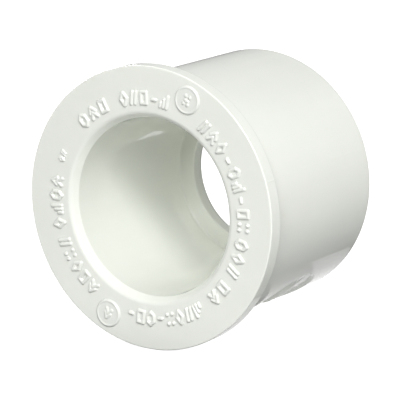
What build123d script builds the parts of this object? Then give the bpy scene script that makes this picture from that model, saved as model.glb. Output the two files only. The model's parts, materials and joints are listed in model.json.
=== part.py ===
"""Reducer bushing, 1-1/2 in spigot by 1 in solvent socket, moulded in white PVC.

The axis of the fitting is +Y. The socket opens towards -Y, the spigot points to +Y, and the origin
is on the axis in the plane of the collar's rear shoulder, which stops against the larger fitting.
"""

from build123d import *

import os
from math import atan2, cos, degrees, radians, sin

# Driving dimensions of the body, in millimetres.
spigot_diameter = 48.26  # outside diameter of 1-1/2 in pipe
collar_diameter = 53.5
collar_thickness = 3.2
overall_length = 40.0
socket_diameter = 33.52  # mean of a tapered socket for 1 in pipe, which is 33.40 outside
socket_depth = 35.5  # from the collar's face to the pipe stop, a flat ledge
mouth_diameter = 35.6  # where the lead-in would meet the collar's face, without the lip's rounding
mouth_depth = 1.6
exit_diameter = 26.64  # the waterway beyond the stop, as wide as the 1 in pipe's inside

# Rounding of the corners of its section.
mouth_round = 1.0
mouth_blend = 0.4
stop_corner = 0.5
stop_round = 0.35
exit_round = 2.5
spigot_end_round = 0.3
collar_root = 0.4
collar_back_round = 0.3
collar_front_round = 0.4

# Gate well in the spigot's side, with the stub of the gate in it.
gate_angle = -56.5  # around the axis, from +X towards +Z
gate_position = 22.0  # along the axis, from the shoulder
gate_length = 15.6
gate_width = 13.6
gate_depth = 0.5
gate_cut_reach = 4.0
stub_length = 2.6  # along the axis
stub_width = 9.2  # across it
stub_rise = 0.35  # above the floor of the well

# Raised marks and badges on the collar's face.
mark_radius = 20.8  # circle through the middle of the marks
mark_width = 1.9
mark_height = 2.9
mark_stroke = 0.55
mark_relief = 0.4
small_mark_angle = 158.0
small_mark_pitch = 3.6
small_mark_scale = 0.45
badge_radius = 23.0
badge_angles = (67.8, -113.2)
badge_diameter = 5.3
badge_relief = 0.28
badge_mark_scale = 0.85
badge_mark_relief = 0.2

# Worked out from them.
spigot_length = overall_length - collar_thickness
spigot_r = spigot_diameter / 2
face_y = -collar_thickness
stop_y = face_y + socket_depth

# Corners of the turned section: radius, position along the axis, rounding.
section_corners = [
    (mouth_diameter / 2, face_y, mouth_round),
    (socket_diameter / 2, face_y + mouth_depth, mouth_blend),
    (socket_diameter / 2, stop_y, stop_corner),
    (exit_diameter / 2, stop_y, stop_round),
    (exit_diameter / 2, spigot_length, exit_round),
    (spigot_r, spigot_length, spigot_end_round),
    (spigot_r, 0, collar_root),
    (collar_diameter / 2, 0, collar_back_round),
    (collar_diameter / 2, face_y, collar_front_round),
]

face_plane = Plane(origin=(0, face_y, 0), x_dir=(1, 0, 0), z_dir=(0, -1, 0))
gate_out = Vector(cos(radians(gate_angle)), 0, sin(radians(gate_angle)))
gate_plane = Plane(
    origin=gate_out * spigot_r + Vector(0, gate_position, 0), x_dir=(0, 1, 0), z_dir=gate_out
)


def outline(*corners):
    """The strokes that join these corners and close the figure."""
    return [(a, b) for a, b in zip(corners, corners[1:] + corners[:1])]


# A mark is a figure of a few strokes in a cell that runs from -1 to 1 each way. In the cell, x is
# the direction in which a row is read, and y points away from the fitting's axis.
kite = outline((0, 1), (1, 0), (0, -1), (-1, 0))
frame = outline((-0.9, 0.9), (0.9, 0.9), (0.9, -0.9), (-0.9, -0.9))
hexagon = outline((0, 1), (1, 0.5), (1, -0.5), (0, -1), (-1, -0.5), (-1, 0.5))
rails = [((-1, -0.9), (-0.3, 0.9)), ((0.3, -0.9), (1, 0.9))]
bars = [((-1, -0.9), (-1, -0.3)), ((0, -0.9), (0, 0.3)), ((1, -0.9), (1, 0.9))]
chevrons = [((-1, 0), (0, 0.9)), ((0, 0.9), (1, 0)), ((-1, -0.9), (0, 0)), ((0, 0), (1, -0.9))]
dots = [((x, y), (x, y + 0.1)) for x in (-0.8, 0.8) for y in (-0.8, 0.7)]
dash = [((-0.5, -0.1), (0.5, -0.1))]

# Rows of marks: the angle of the first, the degrees from one to the next clockwise, the marks.
mark_rows = [
    (133.4, 7.4, [hexagon, chevrons, frame]),
    (104.7, 6.2, [kite, rails, frame, dash, bars]),
    (53.5, 7.0, [rails, chevrons, kite, dash, hexagon, bars, dash, frame, dots]),
    (-11.6, 7.5, [hexagon, kite, rails]),
    (-37.5, 7.8, [frame, chevrons]),
    (-58.0, 6.1, [bars, rails, kite, dots, dash, hexagon, frame, dash]),
    (-127.2, 7.0, [chevrons, frame, kite, dots, rails]),
    (-165.4, 7.5, [kite, bars, hexagon, chevrons]),
]


def on_face(radius, angle):
    """A spot on the collar's face, with y pointing away from the fitting's axis."""
    position = (radius * cos(radians(angle)), radius * sin(radians(angle)), 0)
    return Location(position, (0, 0, angle - 90))


def draw_mark(strokes, scale):
    """Round-ended strokes, in the sketch and at the location that are open."""
    half_width = (mark_width - mark_stroke) / 2 * scale
    half_height = (mark_height - mark_stroke) / 2 * scale
    for (x0, y0), (x1, y1) in strokes:
        run = Vector((x1 - x0) * half_width, (y1 - y0) * half_height)
        with Locations(((x0 + x1) / 2 * half_width, (y0 + y1) / 2 * half_height)):
            turn = degrees(atan2(run.Y, run.X))
            SlotCenterToCenter(run.length, mark_stroke * (0.4 + 0.6 * scale), rotation=turn)


# Stub of the gate: an oval bar that stands across the well, and stays below the spigot's surface.
with BuildPart() as gate_stub:
    with BuildSketch(gate_plane):
        Ellipse(stub_length / 2, stub_width / 2)
    extrude(amount=gate_cut_reach, both=True)
    with BuildSketch(Plane.XZ.offset(-gate_position)):
        Circle(spigot_r - gate_depth + stub_rise)
    extrude(amount=gate_length, both=True, mode=Mode.INTERSECT)

# Gate well: what it takes out of the spigot, an oval that follows the round surface down.
with BuildPart() as gate_well:
    with BuildSketch(gate_plane):
        Ellipse(gate_length / 2, gate_width / 2)
    extrude(amount=gate_cut_reach, both=True)
    with BuildSketch(Plane.XZ.offset(-gate_position)):
        Circle(spigot_r - gate_depth)
    extrude(amount=gate_length, both=True, mode=Mode.SUBTRACT)
    add(gate_stub.part, mode=Mode.SUBTRACT)

# Body: collar, spigot, socket, pipe stop and waterway are one turned section.
with BuildPart() as reducer_body:
    with BuildSketch(Plane.XY) as body_section:
        with BuildLine():
            Polyline([(r, y) for r, y, _ in section_corners], close=True)
        make_face()
        for r, y, rounding in section_corners:
            if rounding:
                fillet(body_section.vertices().sort_by_distance((r, y, 0))[0], rounding)
    revolve(axis=Axis.Y)
    add(gate_well.part, mode=Mode.SUBTRACT)

# Raised marks: plain figures around the collar's face, and two small ones between two rows.
with BuildPart() as raised_marks:
    with BuildSketch(face_plane):
        for first_angle, pitch, row in mark_rows:
            for index, strokes in enumerate(row):
                with Locations(on_face(mark_radius, first_angle - index * pitch)):
                    draw_mark(strokes, 1)
        for side, strokes in ((1, kite), (-1, rails)):
            angle = small_mark_angle + side * small_mark_pitch / 2
            with Locations(on_face(mark_radius, angle)):
                draw_mark(strokes, small_mark_scale)
    extrude(amount=mark_relief)

# Round badges: a low disc with a plain figure on it.
with BuildPart() as round_badges:
    with BuildSketch(face_plane):
        for angle in badge_angles:
            with Locations(on_face(badge_radius, angle)):
                Circle(badge_diameter / 2)
    extrude(amount=badge_relief)
    with BuildSketch(face_plane.offset(badge_relief)):
        for angle, strokes in zip(badge_angles, (dots + dash, chevrons)):
            with Locations(on_face(badge_radius, angle)):
                draw_mark(strokes, badge_mark_scale)
    extrude(amount=badge_mark_relief)

os.makedirs("parts", exist_ok=True)
for name, piece in (
    ("reducer_body", reducer_body),
    ("raised_marks", raised_marks),
    ("round_badges", round_badges),
):
    piece.part.label = name
    export_step(piece.part, f"parts/{name}.step")
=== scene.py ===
import json
import math

import bmesh
import bpy
import numpy as np
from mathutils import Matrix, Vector


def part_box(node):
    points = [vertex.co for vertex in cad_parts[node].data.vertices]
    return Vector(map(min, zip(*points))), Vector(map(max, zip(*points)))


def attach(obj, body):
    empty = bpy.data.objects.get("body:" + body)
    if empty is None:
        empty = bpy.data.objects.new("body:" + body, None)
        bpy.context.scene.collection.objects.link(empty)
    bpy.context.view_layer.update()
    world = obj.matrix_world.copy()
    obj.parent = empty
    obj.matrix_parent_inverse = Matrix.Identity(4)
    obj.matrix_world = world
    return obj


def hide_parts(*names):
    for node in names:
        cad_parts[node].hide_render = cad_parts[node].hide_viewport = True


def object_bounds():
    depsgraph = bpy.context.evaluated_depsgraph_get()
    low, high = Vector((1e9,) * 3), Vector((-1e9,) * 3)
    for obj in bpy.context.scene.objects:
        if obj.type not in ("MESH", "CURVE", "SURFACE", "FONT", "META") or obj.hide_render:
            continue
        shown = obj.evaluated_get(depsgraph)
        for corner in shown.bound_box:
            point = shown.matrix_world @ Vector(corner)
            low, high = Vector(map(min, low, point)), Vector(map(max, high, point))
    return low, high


MM = 0.001

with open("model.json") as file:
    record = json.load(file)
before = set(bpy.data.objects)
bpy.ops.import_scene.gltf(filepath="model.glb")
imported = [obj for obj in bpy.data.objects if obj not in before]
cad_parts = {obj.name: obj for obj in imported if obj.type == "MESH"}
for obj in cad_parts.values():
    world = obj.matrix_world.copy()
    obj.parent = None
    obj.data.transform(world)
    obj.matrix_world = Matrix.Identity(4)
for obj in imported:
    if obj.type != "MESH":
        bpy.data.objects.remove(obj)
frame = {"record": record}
cad_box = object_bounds()

# ---------------------------------------------------------------- sizes, in millimetres
body_lo, body_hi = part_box("reducer_body")
marks_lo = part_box("raised_marks")[0]
mounts = {m["name"]: m for m in frame["record"]["mounts"]}

FACE_Y = body_lo.y / MM
END_Y = body_hi.y / MM
COLLAR_R = 26.75
SPIGOT_R = mounts["spigot"]["dims"]["r_mm"]
SOCKET_R = mounts["pipe_socket"]["dims"]["r_mm"]
SOCKET_TAPER = 0.09  # on the radius, wider than the mean at the mouth and narrower at the stop
MOUTH_R = 17.8
MOUTH_DEPTH = 1.6
SOCKET_DEPTH = 35.5
STOP_Y = FACE_Y + SOCKET_DEPTH
EXIT_R = 13.32

# Roundings of the section's corners.
MOUTH_ROUND = 1.0
MOUTH_BLEND = 0.4
STOP_CORNER = 0.5
STOP_ROUND = 0.35
EXIT_ROUND = 2.5
SPIGOT_END_ROUND = 0.3
COLLAR_ROOT = 0.4
COLLAR_BACK_ROUND = 0.3
COLLAR_FRONT_ROUND = 0.22  # narrower than the CAD's, for a thin line of light on the edge

# Gate well in the spigot's side: an oval with a lip and a crease around it.
GATE_ANGLE = -56.5  # degrees around the axis, from +X towards +Z
GATE_Y = 22.0
GATE_HALF_LENGTH = 7.8
GATE_HALF_WIDTH = 6.8
GATE_MEAN_R = 7.3  # turns shares of the oval into mm beside it
GATE_DEPTH = 0.5
WALL_START = 0.16  # outside the oval
WALL_WIDTH = 0.36
LIP_RISE = 0.03
LIP_AT = 0.40
LIP_WIDTH = 0.16
CREASE_DEPTH = 0.12
CREASE_AT = 0.02
CREASE_WIDTH = 0.22
WELL_FLOOR_UNEVEN = 0.03
WELL_FLOOR_STRETCH = 0.6
WELL_FLOOR_START = 0.1
WELL_FLOOR_FADE = 0.6
WELL_LIMIT = 1.2  # nothing of the well lies farther out than this share of the oval

# Torn stub of the gate: a slightly bent bar across the well, with a torn groove on each side of it.
STUB_HALF_LENGTH = 1.3
STUB_HALF_WIDTH = 4.6
STUB_RISE = 0.42
STUB_UNEVEN = 0.10
STUB_EDGE = 1.15  # where the stub meets the well's floor, as a share of its half size
STUB_SLOPE = 0.35
STUB_BEND = 0.2
STUB_BEND_WAVE = 0.9  # radians per mm
TEAR_DEPTH = 0.5
TEAR_AT = -2.5
TEAR_WIDTH = 0.8
SMALL_TEAR_SHARE = 0.6
SMALL_TEAR_AT = 1.9
SMALL_TEAR_WIDTH = 0.35
TEAR_HALF_LENGTH = 5.6
TEAR_FADE = 1.5

# The torn surface is made of two waves, each with a second wave across it. Their numbers are in
# radians per mm along and around the axis, and the bend and the phase are in radians.
COARSE_ALONG, COARSE_AROUND, COARSE_SKEW = 2.9, 3.7, 0.8
COARSE_BEND, COARSE_BEND_WAVE = 1.3, 1.7
FINE_ALONG, FINE_AROUND, FINE_PHASE = 6.1, 4.3, 1.9
FINE_CROSS_AROUND, FINE_CROSS_ALONG = 5.3, 2.2
FINE_SHARE = 0.6

# Parting line, on two opposite sides: a fine ridge that is plainer on the collar.
PARTING_ANGLE = 17.4
PARTING_RISE = 0.035
PARTING_FAINT = 0.008
PARTING_HALF_WIDTH = 0.16
OUTSIDE_MARGIN = 0.4  # surfaces farther in than this are not the outside
COLLAR_MARGIN = 1.0

# Marks and badges on the collar's face.
MARK_R = 20.8
MARK_W = 1.9
MARK_H = 2.9
MARK_STROKE = 0.55
MARK_RISE = FACE_Y - marks_lo.y / MM
MARK_FOOT = 0.2  # how far the foot of a stroke reaches past the drawn stroke
MARK_SLOPE = 0.44
MARK_MARGIN = 0.35
MARK_CELL = 0.085
SMALL_ANGLE = 158.0
SMALL_PITCH = 3.6
SMALL_SCALE = 0.45
BADGE_R = 23.0
BADGE_ANGLES = (67.8, -113.2)
BADGE_DISC_R = 2.65
BADGE_RISE = 0.28
BADGE_FOOT = 0.14
BADGE_SLOPE = 0.34
BADGE_RIM_RISE = 0.10
BADGE_RIM_INSET = 0.3
BADGE_RIM_WIDTH = 0.17
BADGE_MARK_RISE = 0.20
BADGE_MARK_SCALE = 0.85
BADGE_MARK_FOOT = 0.16
BADGE_MARK_SLOPE = 0.38
BADGE_MARGIN = 0.3
BADGE_CELL = 0.075
SINK = 0.05  # how far the open edge of a relief lies under the face
SUNK_SHARE = 0.98  # a grid point at this share of SINK or deeper is left out
FOOT_FILLET = 0.35  # share of a slope that its foot's fillet takes
STROKE_KEPT = 0.4  # share of the stroke's width that a small mark keeps unscaled
RISE_KEPT = 0.6  # share of its height

# How finely the body is divided.
RING_NEAR_CORNER = 0.08
ARC_ANGLE = math.radians(14)
ARC_STEP = 0.2
ARC_STEPS_MIN = 4
WELL_MARGIN = 0.6
KEPT_RING_EVERY = 6  # away from the gate well, one ring in this many is kept on the spigot
TURN_STEP = 1.2  # degrees
WELL_TURN_STEP = 0.42
WELL_TURN_REACH = 18.5
PARTING_TURNS = (0.12, 0.25, 0.4, 0.6, 0.9, 1.4)
TURN_CLEARANCE = 0.3
TINY = 1e-6

# Corners of the turned section: radius, place along the axis, rounding, and how far apart the rings
# are on the run to the next corner.
SECTION_CORNERS = [
    (MOUTH_R, FACE_Y, MOUTH_ROUND, 0.5),
    (SOCKET_R + SOCKET_TAPER, FACE_Y + MOUTH_DEPTH, MOUTH_BLEND, 1.5),
    (SOCKET_R - SOCKET_TAPER, STOP_Y, STOP_CORNER, 0.5),
    (EXIT_R, STOP_Y, STOP_ROUND, 1.5),
    (EXIT_R, END_Y, EXIT_ROUND, 1.2),
    (SPIGOT_R, END_Y, SPIGOT_END_ROUND, 0.22),
    (SPIGOT_R, 0, COLLAR_ROOT, 0.8),
    (COLLAR_R, 0, COLLAR_BACK_ROUND, 0.7),
    (COLLAR_R, FACE_Y, COLLAR_FRONT_ROUND, 0.9),
]


# ---------------------------------------------------------------- shape helpers
def smooth(t):
    """A soft step from 0 to 1."""
    t = np.clip(t, 0, 1)
    return t * t * (3 - 2 * t)


def bell(distance, width):
    """1 at no distance, and nearly 0 at twice the width."""
    return np.exp(-((distance / width) ** 2))


def swell(depth, width):
    """A rounded ridge's height, 0 to 1, at this depth inside its foot, with a small fillet at the foot."""
    t = np.clip(depth / width, 0, 1)
    return (1 - (1 - t) ** 2) * smooth(t / FOOT_FILLET)


def away_from(angle, middle):
    """The turn in radians from the middle to the angle, by the shorter way round."""
    return (angle - middle + math.pi) % math.tau - math.pi


def new_piece(name, verts, faces, material, underside=None):
    """A smooth closed mesh from points in mm. An open relief gets a flat underside at the y given."""
    mesh = bpy.data.meshes.new(name)
    mesh.from_pydata((np.array(verts) * MM).tolist(), [], faces)
    mesh.validate()
    bm = bmesh.new()
    bm.from_mesh(mesh)
    if underside is not None:
        made = bmesh.ops.extrude_face_region(bm, geom=bm.faces[:], use_keep_orig=True)["geom"]
        for vert in (g for g in made if isinstance(g, bmesh.types.BMVert)):
            vert.co.y = underside * MM
    bmesh.ops.recalc_face_normals(bm, faces=bm.faces)
    for face in bm.faces:
        face.smooth = True
    bm.to_mesh(mesh)
    bm.free()
    piece = bpy.data.objects.new(name, mesh)
    bpy.context.scene.collection.objects.link(piece)
    mesh.materials.append(material)
    return piece


# ---------------------------------------------------------------- body: a turned section
def run_points(a, b, step):
    """Points between a and b, without the ends: one close to each end, the others a step apart."""
    length = np.linalg.norm(b - a)
    near = min(RING_NEAR_CORNER, length / 4)
    inner = length - 2 * near
    count = max(1, int(round(inner / step)))
    between = near + inner * np.arange(1, count) / count
    at = np.concatenate([[near], between, [length - near]])
    return a + (b - a) * at[:, None] / length


def corner_arc(before, here, after, rounding):
    """Points along the rounding of the corner here."""
    u = (before - here) / np.linalg.norm(before - here)
    v = (after - here) / np.linalg.norm(after - here)
    half = math.acos(np.clip(u @ v, -1, 1)) / 2
    reach = rounding / math.tan(half)
    middle = here + (u + v) / np.linalg.norm(u + v) * rounding / math.sin(half)
    start, end = here + u * reach - middle, here + v * reach - middle
    first = math.atan2(start[1], start[0])
    turn = away_from(math.atan2(end[1], end[0]), first)
    by_angle = math.ceil(abs(turn) / ARC_ANGLE)
    by_length = math.ceil(abs(turn) * rounding / ARC_STEP)
    count = max(ARC_STEPS_MIN, by_angle, by_length)
    angles = first + turn * np.arange(count + 1) / count
    return middle + rounding * np.stack([np.cos(angles), np.sin(angles)], 1)


def rounded_section(corners):
    """The section's outline, closed, as rows of radius and y."""
    spots = [np.array(corner[:2], float) for corner in corners]
    following = spots[1:] + spots[:1]
    arcs = [
        corner_arc(spots[i - 1], here, after, corners[i][2])
        for i, (here, after) in enumerate(zip(spots, following))
    ]
    rows = []
    for arc, next_arc, corner in zip(arcs, arcs[1:] + arcs[:1], corners):
        rows.append(arc)
        rows.append(run_points(arc[-1], next_arc[0], corner[3]))
    return np.concatenate(rows)


def thin_rings(section):
    """Takes most rings out of the spigot where the gate well doesn't need them."""
    on_spigot = np.abs(section[:, 0] - SPIGOT_R) < TINY
    far = on_spigot & (np.abs(section[:, 1] - GATE_Y) > GATE_HALF_LENGTH + WELL_MARGIN)
    inner = far & np.roll(far, 1) & np.roll(far, -1)
    return section[~(inner & (np.arange(len(section)) % KEPT_RING_EVERY != 0))]


def ring_angles():
    """The places of the points around a ring, closer together at the gate well and parting line."""
    at_well = np.arange(-WELL_TURN_REACH, WELL_TURN_REACH, WELL_TURN_STEP)
    beside = np.array(PARTING_TURNS)
    at_parting = np.concatenate([-beside[::-1], [0], beside])
    dense = [(GATE_ANGLE % 360, at_well), (PARTING_ANGLE, at_parting), (PARTING_ANGLE + 180, at_parting)]
    angles = list(np.arange(0, 360, TURN_STEP))
    for middle, offsets in dense:
        low, high = middle + offsets.min() - TURN_CLEARANCE, middle + offsets.max() + TURN_CLEARANCE
        angles = [angle for angle in angles if not low < angle < high] + list(middle + offsets)
    return np.radians(np.sort(np.array(angles) % 360))


def ragged(u, w):
    """Smooth unevenness, about -1 to 1, on a torn surface."""
    coarse = np.sin(COARSE_ALONG * u + COARSE_BEND * np.sin(COARSE_BEND_WAVE * w))
    coarse = coarse * np.cos(COARSE_AROUND * w - COARSE_SKEW * u)
    fine = np.sin(FINE_ALONG * u - FINE_AROUND * w + FINE_PHASE)
    fine = fine * np.cos(FINE_CROSS_AROUND * w + FINE_CROSS_ALONG * u)
    return (coarse + FINE_SHARE * fine) / (1 + FINE_SHARE)


def gate_offset(u, w):
    """How far the gate well's surface stands off the spigot's, u along the axis and w around it."""
    out = np.hypot(u / GATE_HALF_LENGTH, w / GATE_HALF_WIDTH)
    edge = (out - 1) * GATE_MEAN_R
    well = GATE_DEPTH * smooth((WALL_START - edge) / WALL_WIDTH)
    lip = LIP_RISE * bell(edge - LIP_AT, LIP_WIDTH)
    crease = CREASE_DEPTH * bell(edge - CREASE_AT, CREASE_WIDTH)
    bent = u + STUB_BEND * np.sin(STUB_BEND_WAVE * w)
    stub_out = np.hypot(bent / STUB_HALF_LENGTH, w / STUB_HALF_WIDTH)
    stub = (STUB_RISE + STUB_UNEVEN * ragged(u, w)) * smooth((STUB_EDGE - stub_out) / STUB_SLOPE)
    fade = smooth((TEAR_HALF_LENGTH - np.abs(w)) / TEAR_FADE)
    grooves = bell(bent - TEAR_AT, TEAR_WIDTH)
    grooves = grooves + SMALL_TEAR_SHARE * bell(bent - SMALL_TEAR_AT, SMALL_TEAR_WIDTH)
    floor = WELL_FLOOR_UNEVEN * ragged(WELL_FLOOR_STRETCH * u, WELL_FLOOR_STRETCH * w)
    floor = floor * smooth((WELL_FLOOR_START - edge) / WELL_FLOOR_FADE)
    offset = -well + lip - crease + stub - TEAR_DEPTH * fade * grooves + floor
    return np.where(out < WELL_LIMIT, offset, 0)


def body_offset(r, y, angle):
    """How far the moulded surface stands off the turned one, radially, in mm."""
    around = away_from(angle, math.radians(GATE_ANGLE)) * SPIGOT_R
    offset = gate_offset(y - GATE_Y, around)
    rise = np.where(r > SPIGOT_R + COLLAR_MARGIN, PARTING_RISE, PARTING_FAINT)
    for side in (0, math.pi):
        turn = away_from(angle, math.radians(PARTING_ANGLE) + side)
        offset = offset + rise * bell(turn * r, PARTING_HALF_WIDTH)
    return np.where(r > SPIGOT_R - OUTSIDE_MARGIN, offset, 0)


def make_body(material):
    section = thin_rings(rounded_section(SECTION_CORNERS))
    r, y, angle = np.broadcast_arrays(section[:, :1], section[:, 1:], ring_angles()[None, :])
    out = r + body_offset(r, y, angle)
    verts = np.stack([out * np.cos(angle), y, out * np.sin(angle)], -1).reshape(-1, 3)
    rings, turns = r.shape
    i, j = np.meshgrid(np.arange(rings), np.arange(turns), indexing="ij")
    here, after = i * turns, (i + 1) % rings * turns
    j_next = (j + 1) % turns
    faces = np.stack([here + j, here + j_next, after + j_next, after + j], -1).reshape(-1, 4)
    return new_piece("bushing_body", verts, faces.tolist(), material)


# ---------------------------------------------------------------- raised marks, in low relief
def outline(*corners):
    """The strokes that join these corners and close the figure."""
    return [(a, b) for a, b in zip(corners, corners[1:] + corners[:1])]


# A figure's strokes lie in a cell that runs from -1 to 1 each way. Its x is the direction in which
# a row is read, and its y points away from the fitting's axis.
kite = outline((0, 1), (1, 0), (0, -1), (-1, 0))
box = outline((-0.9, 0.9), (0.9, 0.9), (0.9, -0.9), (-0.9, -0.9))
hexagon = outline((0, 1), (1, 0.5), (1, -0.5), (0, -1), (-1, -0.5), (-1, 0.5))
rails = [((-1, -0.9), (-0.3, 0.9)), ((0.3, -0.9), (1, 0.9))]
bars = [((-1, -0.9), (-1, -0.3)), ((0, -0.9), (0, 0.3)), ((1, -0.9), (1, 0.9))]
chevrons = [((-1, 0), (0, 0.9)), ((0, 0.9), (1, 0)), ((-1, -0.9), (0, 0)), ((0, 0), (1, -0.9))]
dots = [((x, y), (x, y + 0.1)) for x in (-0.8, 0.8) for y in (-0.8, 0.7)]
dash = [((-0.5, -0.1), (0.5, -0.1))]

# Rows of marks: the angle of the first, the degrees from one to the next clockwise, the marks.
MARK_ROWS = [
    (133.4, 7.4, [hexagon, chevrons, box]),
    (104.7, 6.2, [kite, rails, box, dash, bars]),
    (53.5, 7.0, [rails, chevrons, kite, dash, hexagon, bars, dash, box, dots]),
    (-11.6, 7.5, [hexagon, kite, rails]),
    (-37.5, 7.8, [box, chevrons]),
    (-58.0, 6.1, [bars, rails, kite, dots, dash, hexagon, box, dash]),
    (-127.2, 7.0, [chevrons, box, kite, dots, rails]),
    (-165.4, 7.5, [kite, bars, hexagon, chevrons]),
]


def stroke_edge(u, v, strokes, scale):
    """Distance outside the drawn strokes, in mm, and negative inside them."""
    stroke = MARK_STROKE * (STROKE_KEPT + (1 - STROKE_KEPT) * scale)
    half_w, half_h = (MARK_W - MARK_STROKE) / 2 * scale, (MARK_H - MARK_STROKE) / 2 * scale
    nearest = np.full(u.shape, np.inf)
    for (x0, y0), (x1, y1) in strokes:
        ax, ay = x0 * half_w, y0 * half_h
        dx, dy = (x1 - x0) * half_w, (y1 - y0) * half_h
        t = np.clip(((u - ax) * dx + (v - ay) * dy) / (dx * dx + dy * dy), 0, 1)
        nearest = np.minimum(nearest, np.hypot(u - ax - t * dx, v - ay - t * dy))
    return nearest - stroke / 2


class Reliefs:
    """Low reliefs on the collar's face: fine grids that rise from just under the face."""

    def __init__(self, cell):
        self.cell = cell
        self.verts = []
        self.faces = []

    def add(self, height, half_u, half_v, radius, angle):
        """Height gives mm above the face at u, the reading direction, and v, away from the axis."""
        nu, nv = math.ceil(half_u / self.cell), math.ceil(half_v / self.cell)
        steps_u, steps_v = np.arange(-nu, nu + 1) * self.cell, np.arange(-nv, nv + 1) * self.cell
        u, v = np.meshgrid(steps_u, steps_v, indexing="ij")
        rise = height(u, v)
        live = rise > -SINK * SUNK_SHARE
        quad = live[:-1, :-1] | live[1:, :-1] | live[:-1, 1:] | live[1:, 1:]
        used = np.zeros(u.shape, bool)
        used[:-1, :-1] |= quad
        used[1:, :-1] |= quad
        used[:-1, 1:] |= quad
        used[1:, 1:] |= quad
        index = np.full(u.shape, -1)
        index[used] = len(self.verts) + np.arange(used.sum())
        turn = math.radians(angle)
        x = (radius + v) * math.cos(turn) + u * math.sin(turn)
        z = (radius + v) * math.sin(turn) - u * math.cos(turn)
        self.verts += np.stack([x[used], FACE_Y - rise[used], z[used]], -1).tolist()
        i, j = np.nonzero(quad)
        around = [index[i, j], index[i + 1, j], index[i + 1, j + 1], index[i, j + 1]]
        self.faces += np.stack(around, -1).tolist()

    def make(self, name, material):
        """One closed piece of all the reliefs."""
        return new_piece(name, self.verts, self.faces, material, underside=FACE_Y + 2 * SINK)


def make_marks(material):
    reliefs = Reliefs(MARK_CELL)

    def add(strokes, scale, angle):
        full = MARK_RISE * (RISE_KEPT + (1 - RISE_KEPT) * scale)

        def height(u, v):
            edge = stroke_edge(u, v, strokes, scale)
            return (full + SINK) * swell(MARK_FOOT - edge, MARK_SLOPE) - SINK

        half_w, half_h = MARK_W / 2 * scale + MARK_MARGIN, MARK_H / 2 * scale + MARK_MARGIN
        reliefs.add(height, half_w, half_h, MARK_R, angle)

    for first, pitch, row in MARK_ROWS:
        for index, strokes in enumerate(row):
            add(strokes, 1.0, first - index * pitch)
    for side, strokes in ((1, kite), (-1, rails)):
        add(strokes, SMALL_SCALE, SMALL_ANGLE + side * SMALL_PITCH / 2)
    return reliefs.make("face_marks", material)


def make_badges(material):
    reliefs = Reliefs(BADGE_CELL)

    def add(strokes, angle):
        def height(u, v):
            disc = np.hypot(u, v) - BADGE_DISC_R
            edge = stroke_edge(u, v, strokes, BADGE_MARK_SCALE)
            base = (BADGE_RISE + SINK) * swell(BADGE_FOOT - disc, BADGE_SLOPE) - SINK
            figure = BADGE_MARK_RISE * swell(BADGE_MARK_FOOT - edge, BADGE_MARK_SLOPE)
            rim = BADGE_RIM_RISE * bell(disc + BADGE_RIM_INSET, BADGE_RIM_WIDTH)
            return base + figure + rim

        half = BADGE_DISC_R + BADGE_MARGIN
        reliefs.add(height, half, half, BADGE_R, angle)

    for angle, strokes in zip(BADGE_ANGLES, (dots + dash, chevrons)):
        add(strokes, angle)
    return reliefs.make("face_badges", material)


# ---------------------------------------------------------------- materials
class Nodes:
    """A small helper to write a node tree in a few lines."""

    def __init__(self, tree):
        self.tree = tree
        tree.nodes.clear()

    def add(self, kind, operation=None, **values):
        """A node, with these values in the inputs of these names."""
        node = self.tree.nodes.new(kind)
        if operation:
            node.operation = operation
        for key, value in values.items():
            node.inputs[key.replace("_", " ")].default_value = value
        return node

    def link(self, a, b):
        self.tree.links.new(a, b)

    def stretched(self, coords, stretch):
        mapping = self.add("ShaderNodeMapping", Scale=stretch)
        self.link(coords, mapping.inputs["Vector"])
        return mapping.outputs["Vector"]

    def noise(self, coords, scale, detail, rough):
        node = self.add("ShaderNodeTexNoise", Scale=scale, Detail=detail, Roughness=rough)
        self.link(coords, node.inputs["Vector"])
        return node.outputs["Fac"]

    def spread(self, source, lo, hi, to_lo, to_hi):
        """Carries the range from lo to hi over to the range from to_lo to to_hi."""
        node = self.add("ShaderNodeMapRange", From_Min=lo, From_Max=hi, To_Min=to_lo, To_Max=to_hi)
        self.link(source, node.inputs["Value"])
        return node.outputs["Result"]

    def share(self, source, part):
        node = self.add("ShaderNodeMath", "MULTIPLY")
        self.link(source, node.inputs[0])
        node.inputs[1].default_value = part
        return node.outputs["Value"]

    def mix(self, first, part, second, other_part):
        """The sum of a part of one value and a part of another."""
        node = self.add("ShaderNodeMath", "ADD")
        self.link(self.share(first, part), node.inputs[0])
        self.link(self.share(second, other_part), node.inputs[1])
        return node.outputs["Value"]


DARKER_WHITE = (0.800, 0.822, 0.762, 1)
LIGHTER_WHITE = (0.832, 0.850, 0.796, 1)
FLOW_STRETCH = (420, 40, 420)  # the plastic flowed along the axis
SHEEN_SPREAD = 0.04


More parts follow.
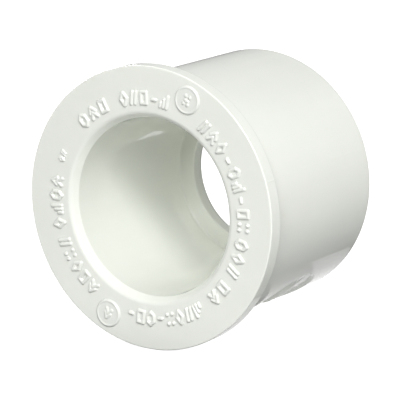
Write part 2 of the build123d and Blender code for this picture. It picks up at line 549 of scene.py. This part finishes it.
def white_plastic(name, roughness):
    """Opaque white PVC: a soft sheen over the body of the plastic, and a thin clear gloss on top."""
    material = bpy.data.materials.new(name)
    material.use_nodes = True
    n = Nodes(material.node_tree)
    coords = n.add("ShaderNodeTexCoord").outputs["Object"]
    cloud = n.noise(coords, scale=90, detail=4, rough=0.55)
    flow = n.noise(n.stretched(coords, FLOW_STRETCH), scale=1, detail=4, rough=0.55)
    peel = n.noise(coords, scale=700, detail=2, rough=0.5)
    smudge = n.noise(coords, scale=160, detail=3, rough=0.6)

    ramp = n.add("ShaderNodeValToRGB")
    darker, lighter = ramp.color_ramp.elements
    darker.position, darker.color = 0.25, DARKER_WHITE
    lighter.position, lighter.color = 0.75, LIGHTER_WHITE
    n.link(n.mix(cloud, 0.7, flow, 0.3), ramp.inputs["Fac"])

    shader = n.add(
        "ShaderNodeBsdfPrincipled",
        IOR=1.53,
        Specular_IOR_Level=0.2,
        Subsurface_Weight=0.15,
        Subsurface_Radius=(1.0, 1.0, 0.85),
        Subsurface_Scale=0.0012,
        Coat_Weight=1.0,
        Coat_IOR=1.5,
    )
    n.link(ramp.outputs["Color"], shader.inputs["Base Color"])
    sheen = n.spread(flow, lo=0.3, hi=0.7, to_lo=roughness - SHEEN_SPREAD, to_hi=roughness + SHEEN_SPREAD)
    n.link(sheen, shader.inputs["Roughness"])
    gloss = n.spread(smudge, lo=0.35, hi=0.65, to_lo=0.03, to_hi=0.07)
    n.link(gloss, shader.inputs["Coat Roughness"])

    bump = n.add("ShaderNodeBump", Strength=0.3, Distance=0.01 * MM)
    n.link(n.mix(peel, 0.6, flow, 1.0), bump.inputs["Height"])
    n.link(bump.outputs["Normal"], shader.inputs["Normal"])
    n.link(bump.outputs["Normal"], shader.inputs["Coat Normal"])
    out = n.add("ShaderNodeOutputMaterial")
    n.link(shader.outputs["BSDF"], out.inputs["Surface"])
    return material


body_plastic = white_plastic("white_plastic_moulded", roughness=0.42)
marks_plastic = white_plastic("white_plastic_relief", roughness=0.44)

body = make_body(body_plastic)
marks = make_marks(marks_plastic)
badges = make_badges(marks_plastic)
for piece, node, slot in (
    (body, "reducer_body", "white_plastic"),
    (marks, "raised_marks", "white_plastic_marks"),
    (badges, "round_badges", "white_plastic_marks"),
):
    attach(piece, "root")
    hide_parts(node)

# ---------------------------------------------------------------- floor, light and camera, in metres
AIM = Vector((0.0075, 0.0028, 0.0015))  # where the camera looks
SUBJECT = Vector((0.0, 0.015, 0.0))  # where the soft boxes point
LIGHT_DISTANCE = 0.8
STAGE_R = 2.5
DOME_R = STAGE_R * 1.02  # just clear of the floor's edge
FLOOR_Z = cad_box[0].z
TABLE_GAP = 0.0002
CARD_GAP = 0.0005
DISC_SIDES = 96


def plain_material(name, grey, roughness, glow):
    """A grey that also glows white, with this strength."""
    material = bpy.data.materials.new(name)
    material.use_nodes = True
    shader = material.node_tree.nodes["Principled BSDF"]
    shader.inputs["Base Color"].default_value = (grey, grey, grey, 1)
    shader.inputs["Roughness"].default_value = roughness
    shader.inputs["Emission Color"].default_value = (1, 1, 1, 1)
    shader.inputs["Emission Strength"].default_value = glow
    return material


def stage_piece(mesh, material, by_camera):
    """A piece of the stage, seen by the camera only or by everything but the camera."""
    piece = bpy.data.objects.new(mesh.name, mesh)
    bpy.context.scene.collection.objects.link(piece)
    mesh.materials.append(material)
    piece.visible_camera = by_camera
    for kind in ("diffuse", "glossy", "transmission", "volume_scatter", "shadow"):
        setattr(piece, "visible_" + kind, not by_camera)


def disc(name, z):
    mesh = bpy.data.meshes.new(name)
    turns = [math.tau * k / DISC_SIDES for k in range(DISC_SIDES)]
    rim = [(STAGE_R * math.cos(t), STAGE_R * math.sin(t), z) for t in turns]
    mesh.from_pydata(rim, [], [tuple(range(DISC_SIDES))])
    return mesh


def dome(name):
    mesh = bpy.data.meshes.new(name)
    bm = bmesh.new()
    bmesh.ops.create_uvsphere(bm, u_segments=64, v_segments=32, radius=DOME_R)
    bm.to_mesh(mesh)
    bm.free()
    return mesh


# The white sweep that the picture shows, and the darker table that the object reflects.
pale_floor = plain_material("pale_floor", grey=0.20, roughness=0.8, glow=0.96)
pale_backdrop = plain_material("pale_backdrop", grey=0, roughness=1.0, glow=1.0)
dark_table = plain_material("table", grey=0.15, roughness=0.6, glow=0.0)
stage_piece(disc("floor", FLOOR_Z), pale_floor, by_camera=True)
stage_piece(dome("backdrop"), pale_backdrop, by_camera=True)
stage_piece(disc("table", FLOOR_Z - TABLE_GAP), dark_table, by_camera=False)


def towards(azimuth, elevation):
    """A direction from the object, in degrees: azimuth 0 in front of the mouth, 90 to the right."""
    a, e = math.radians(azimuth), math.radians(elevation)
    return Vector((math.sin(a) * math.cos(e), -math.cos(a) * math.cos(e), math.sin(e)))


def area_light(name, location, facing, width, depth, power):
    data = bpy.data.lights.new(name, "AREA")
    data.shape = "RECTANGLE"
    data.size, data.size_y = width, depth
    data.energy = power
    light = bpy.data.objects.new(name, data)
    light.location = location
    light.rotation_mode = "QUATERNION"
    light.rotation_quaternion = (-facing).to_track_quat("Z", "Y")
    light.visible_camera = False
    bpy.context.scene.collection.objects.link(light)
    return light


def bounce_card(name, x, y, width, depth, brightness):
    """A lit white card that lies on the table. x and y are its middle."""
    power = brightness * math.pi * width * depth
    return area_light(name, Vector((x, y, FLOOR_Z + CARD_GAP)), Vector((0, 0, 1)), width, depth, power)


def graded_cards(name, x_from, x_to, y, depth, dim, bright, count):
    """Narrow cards side by side, which brighten from x_from to x_to."""
    width = (x_to - x_from) / count
    cards = []
    for k in range(count):
        brightness = dim + (bright - dim) * k / (count - 1)
        cards.append(bounce_card(f"{name}_{k}", x_from + (k + 0.5) * width, y, abs(width), depth, brightness))
    return cards


# Soft boxes: azimuth and elevation in degrees, the side, and the power in watts.
for name, azimuth, elevation, side, power in (
    ("key", 30, 33, 0.34, 3.18),
    ("key_high", 40, 40, 0.20, 2.86),
    ("key_low", 25, 25, 0.20, 0.57),
    ("side_right", 60, 10, 0.34, 0.64),
    ("back_left", 235, 20, 0.34, 6.84),
    ("back_top", 180, 75, 0.50, 1.37),
):
    back = towards(azimuth, elevation)
    area_light(name, SUBJECT + back * LIGHT_DISTANCE, -back, side, side, power)

# Cards that brighten the underside, which the object's gloss also mirrors.
graded_cards("card_under", x_from=0.0215, x_to=0.0, y=0.034, depth=0.016, dim=0.1, bright=1.25, count=10)
bounce_card("card_under_left", x=-0.010, y=0.034, width=0.020, depth=0.016, brightness=1.25)
bounce_card("card_below", x=0.009, y=0.009, width=0.028, depth=0.020, brightness=0.80)
bounce_card("card_front", x=-0.010, y=-0.035, width=0.060, depth=0.050, brightness=0.23)
bounce_card("card_side", x=0.037, y=0.0, width=0.026, depth=0.040, brightness=0.22)

# Cards that show only as reflections in the gloss.
mirrored = graded_cards(
    "card_behind", x_from=0.0215, x_to=0.0035, y=0.0495, depth=0.015, dim=0.52, bright=1.15, count=8
)
mirrored += [
    bounce_card("card_behind_left", x=-0.00825, y=0.0495, width=0.0235, depth=0.015, brightness=1.15),
    bounce_card("card_far", x=-0.0185, y=0.068, width=0.023, depth=0.016, brightness=1.35),
]
for card in mirrored:
    card.visible_diffuse = False

# A card that gives light but doesn't show in the gloss.
card_right = bounce_card("card_right", x=0.100, y=0.022, width=0.060, depth=0.090, brightness=2.5)
card_right.visible_glossy = False

world = bpy.data.worlds.new("studio")
bpy.context.scene.world = world
world.use_nodes = True
world.node_tree.nodes["Background"].inputs["Color"].default_value = (1, 1, 1, 1)
world.node_tree.nodes["Background"].inputs["Strength"].default_value = 0.20

CAMERA_AZIMUTH = 33.21
CAMERA_ELEVATION = 12.75
CAMERA_DISTANCE = 0.5151

camera_data = bpy.data.cameras.new("camera")
camera_data.lens = 251.3
camera_data.sensor_width = 36.0
camera_data.clip_start = 0.01
camera_data.clip_end = 50.0
camera = bpy.data.objects.new("camera", camera_data)
camera_back = towards(CAMERA_AZIMUTH, CAMERA_ELEVATION)
camera.location = AIM + camera_back * CAMERA_DISTANCE
camera.rotation_mode = "QUATERNION"
camera.rotation_quaternion = camera_back.to_track_quat("Z", "Y")
bpy.context.scene.collection.objects.link(camera)
bpy.context.scene.camera = camera

bpy.context.scene.view_settings.view_transform = "Standard"
bpy.context.scene.cycles.diffuse_bounces = 6
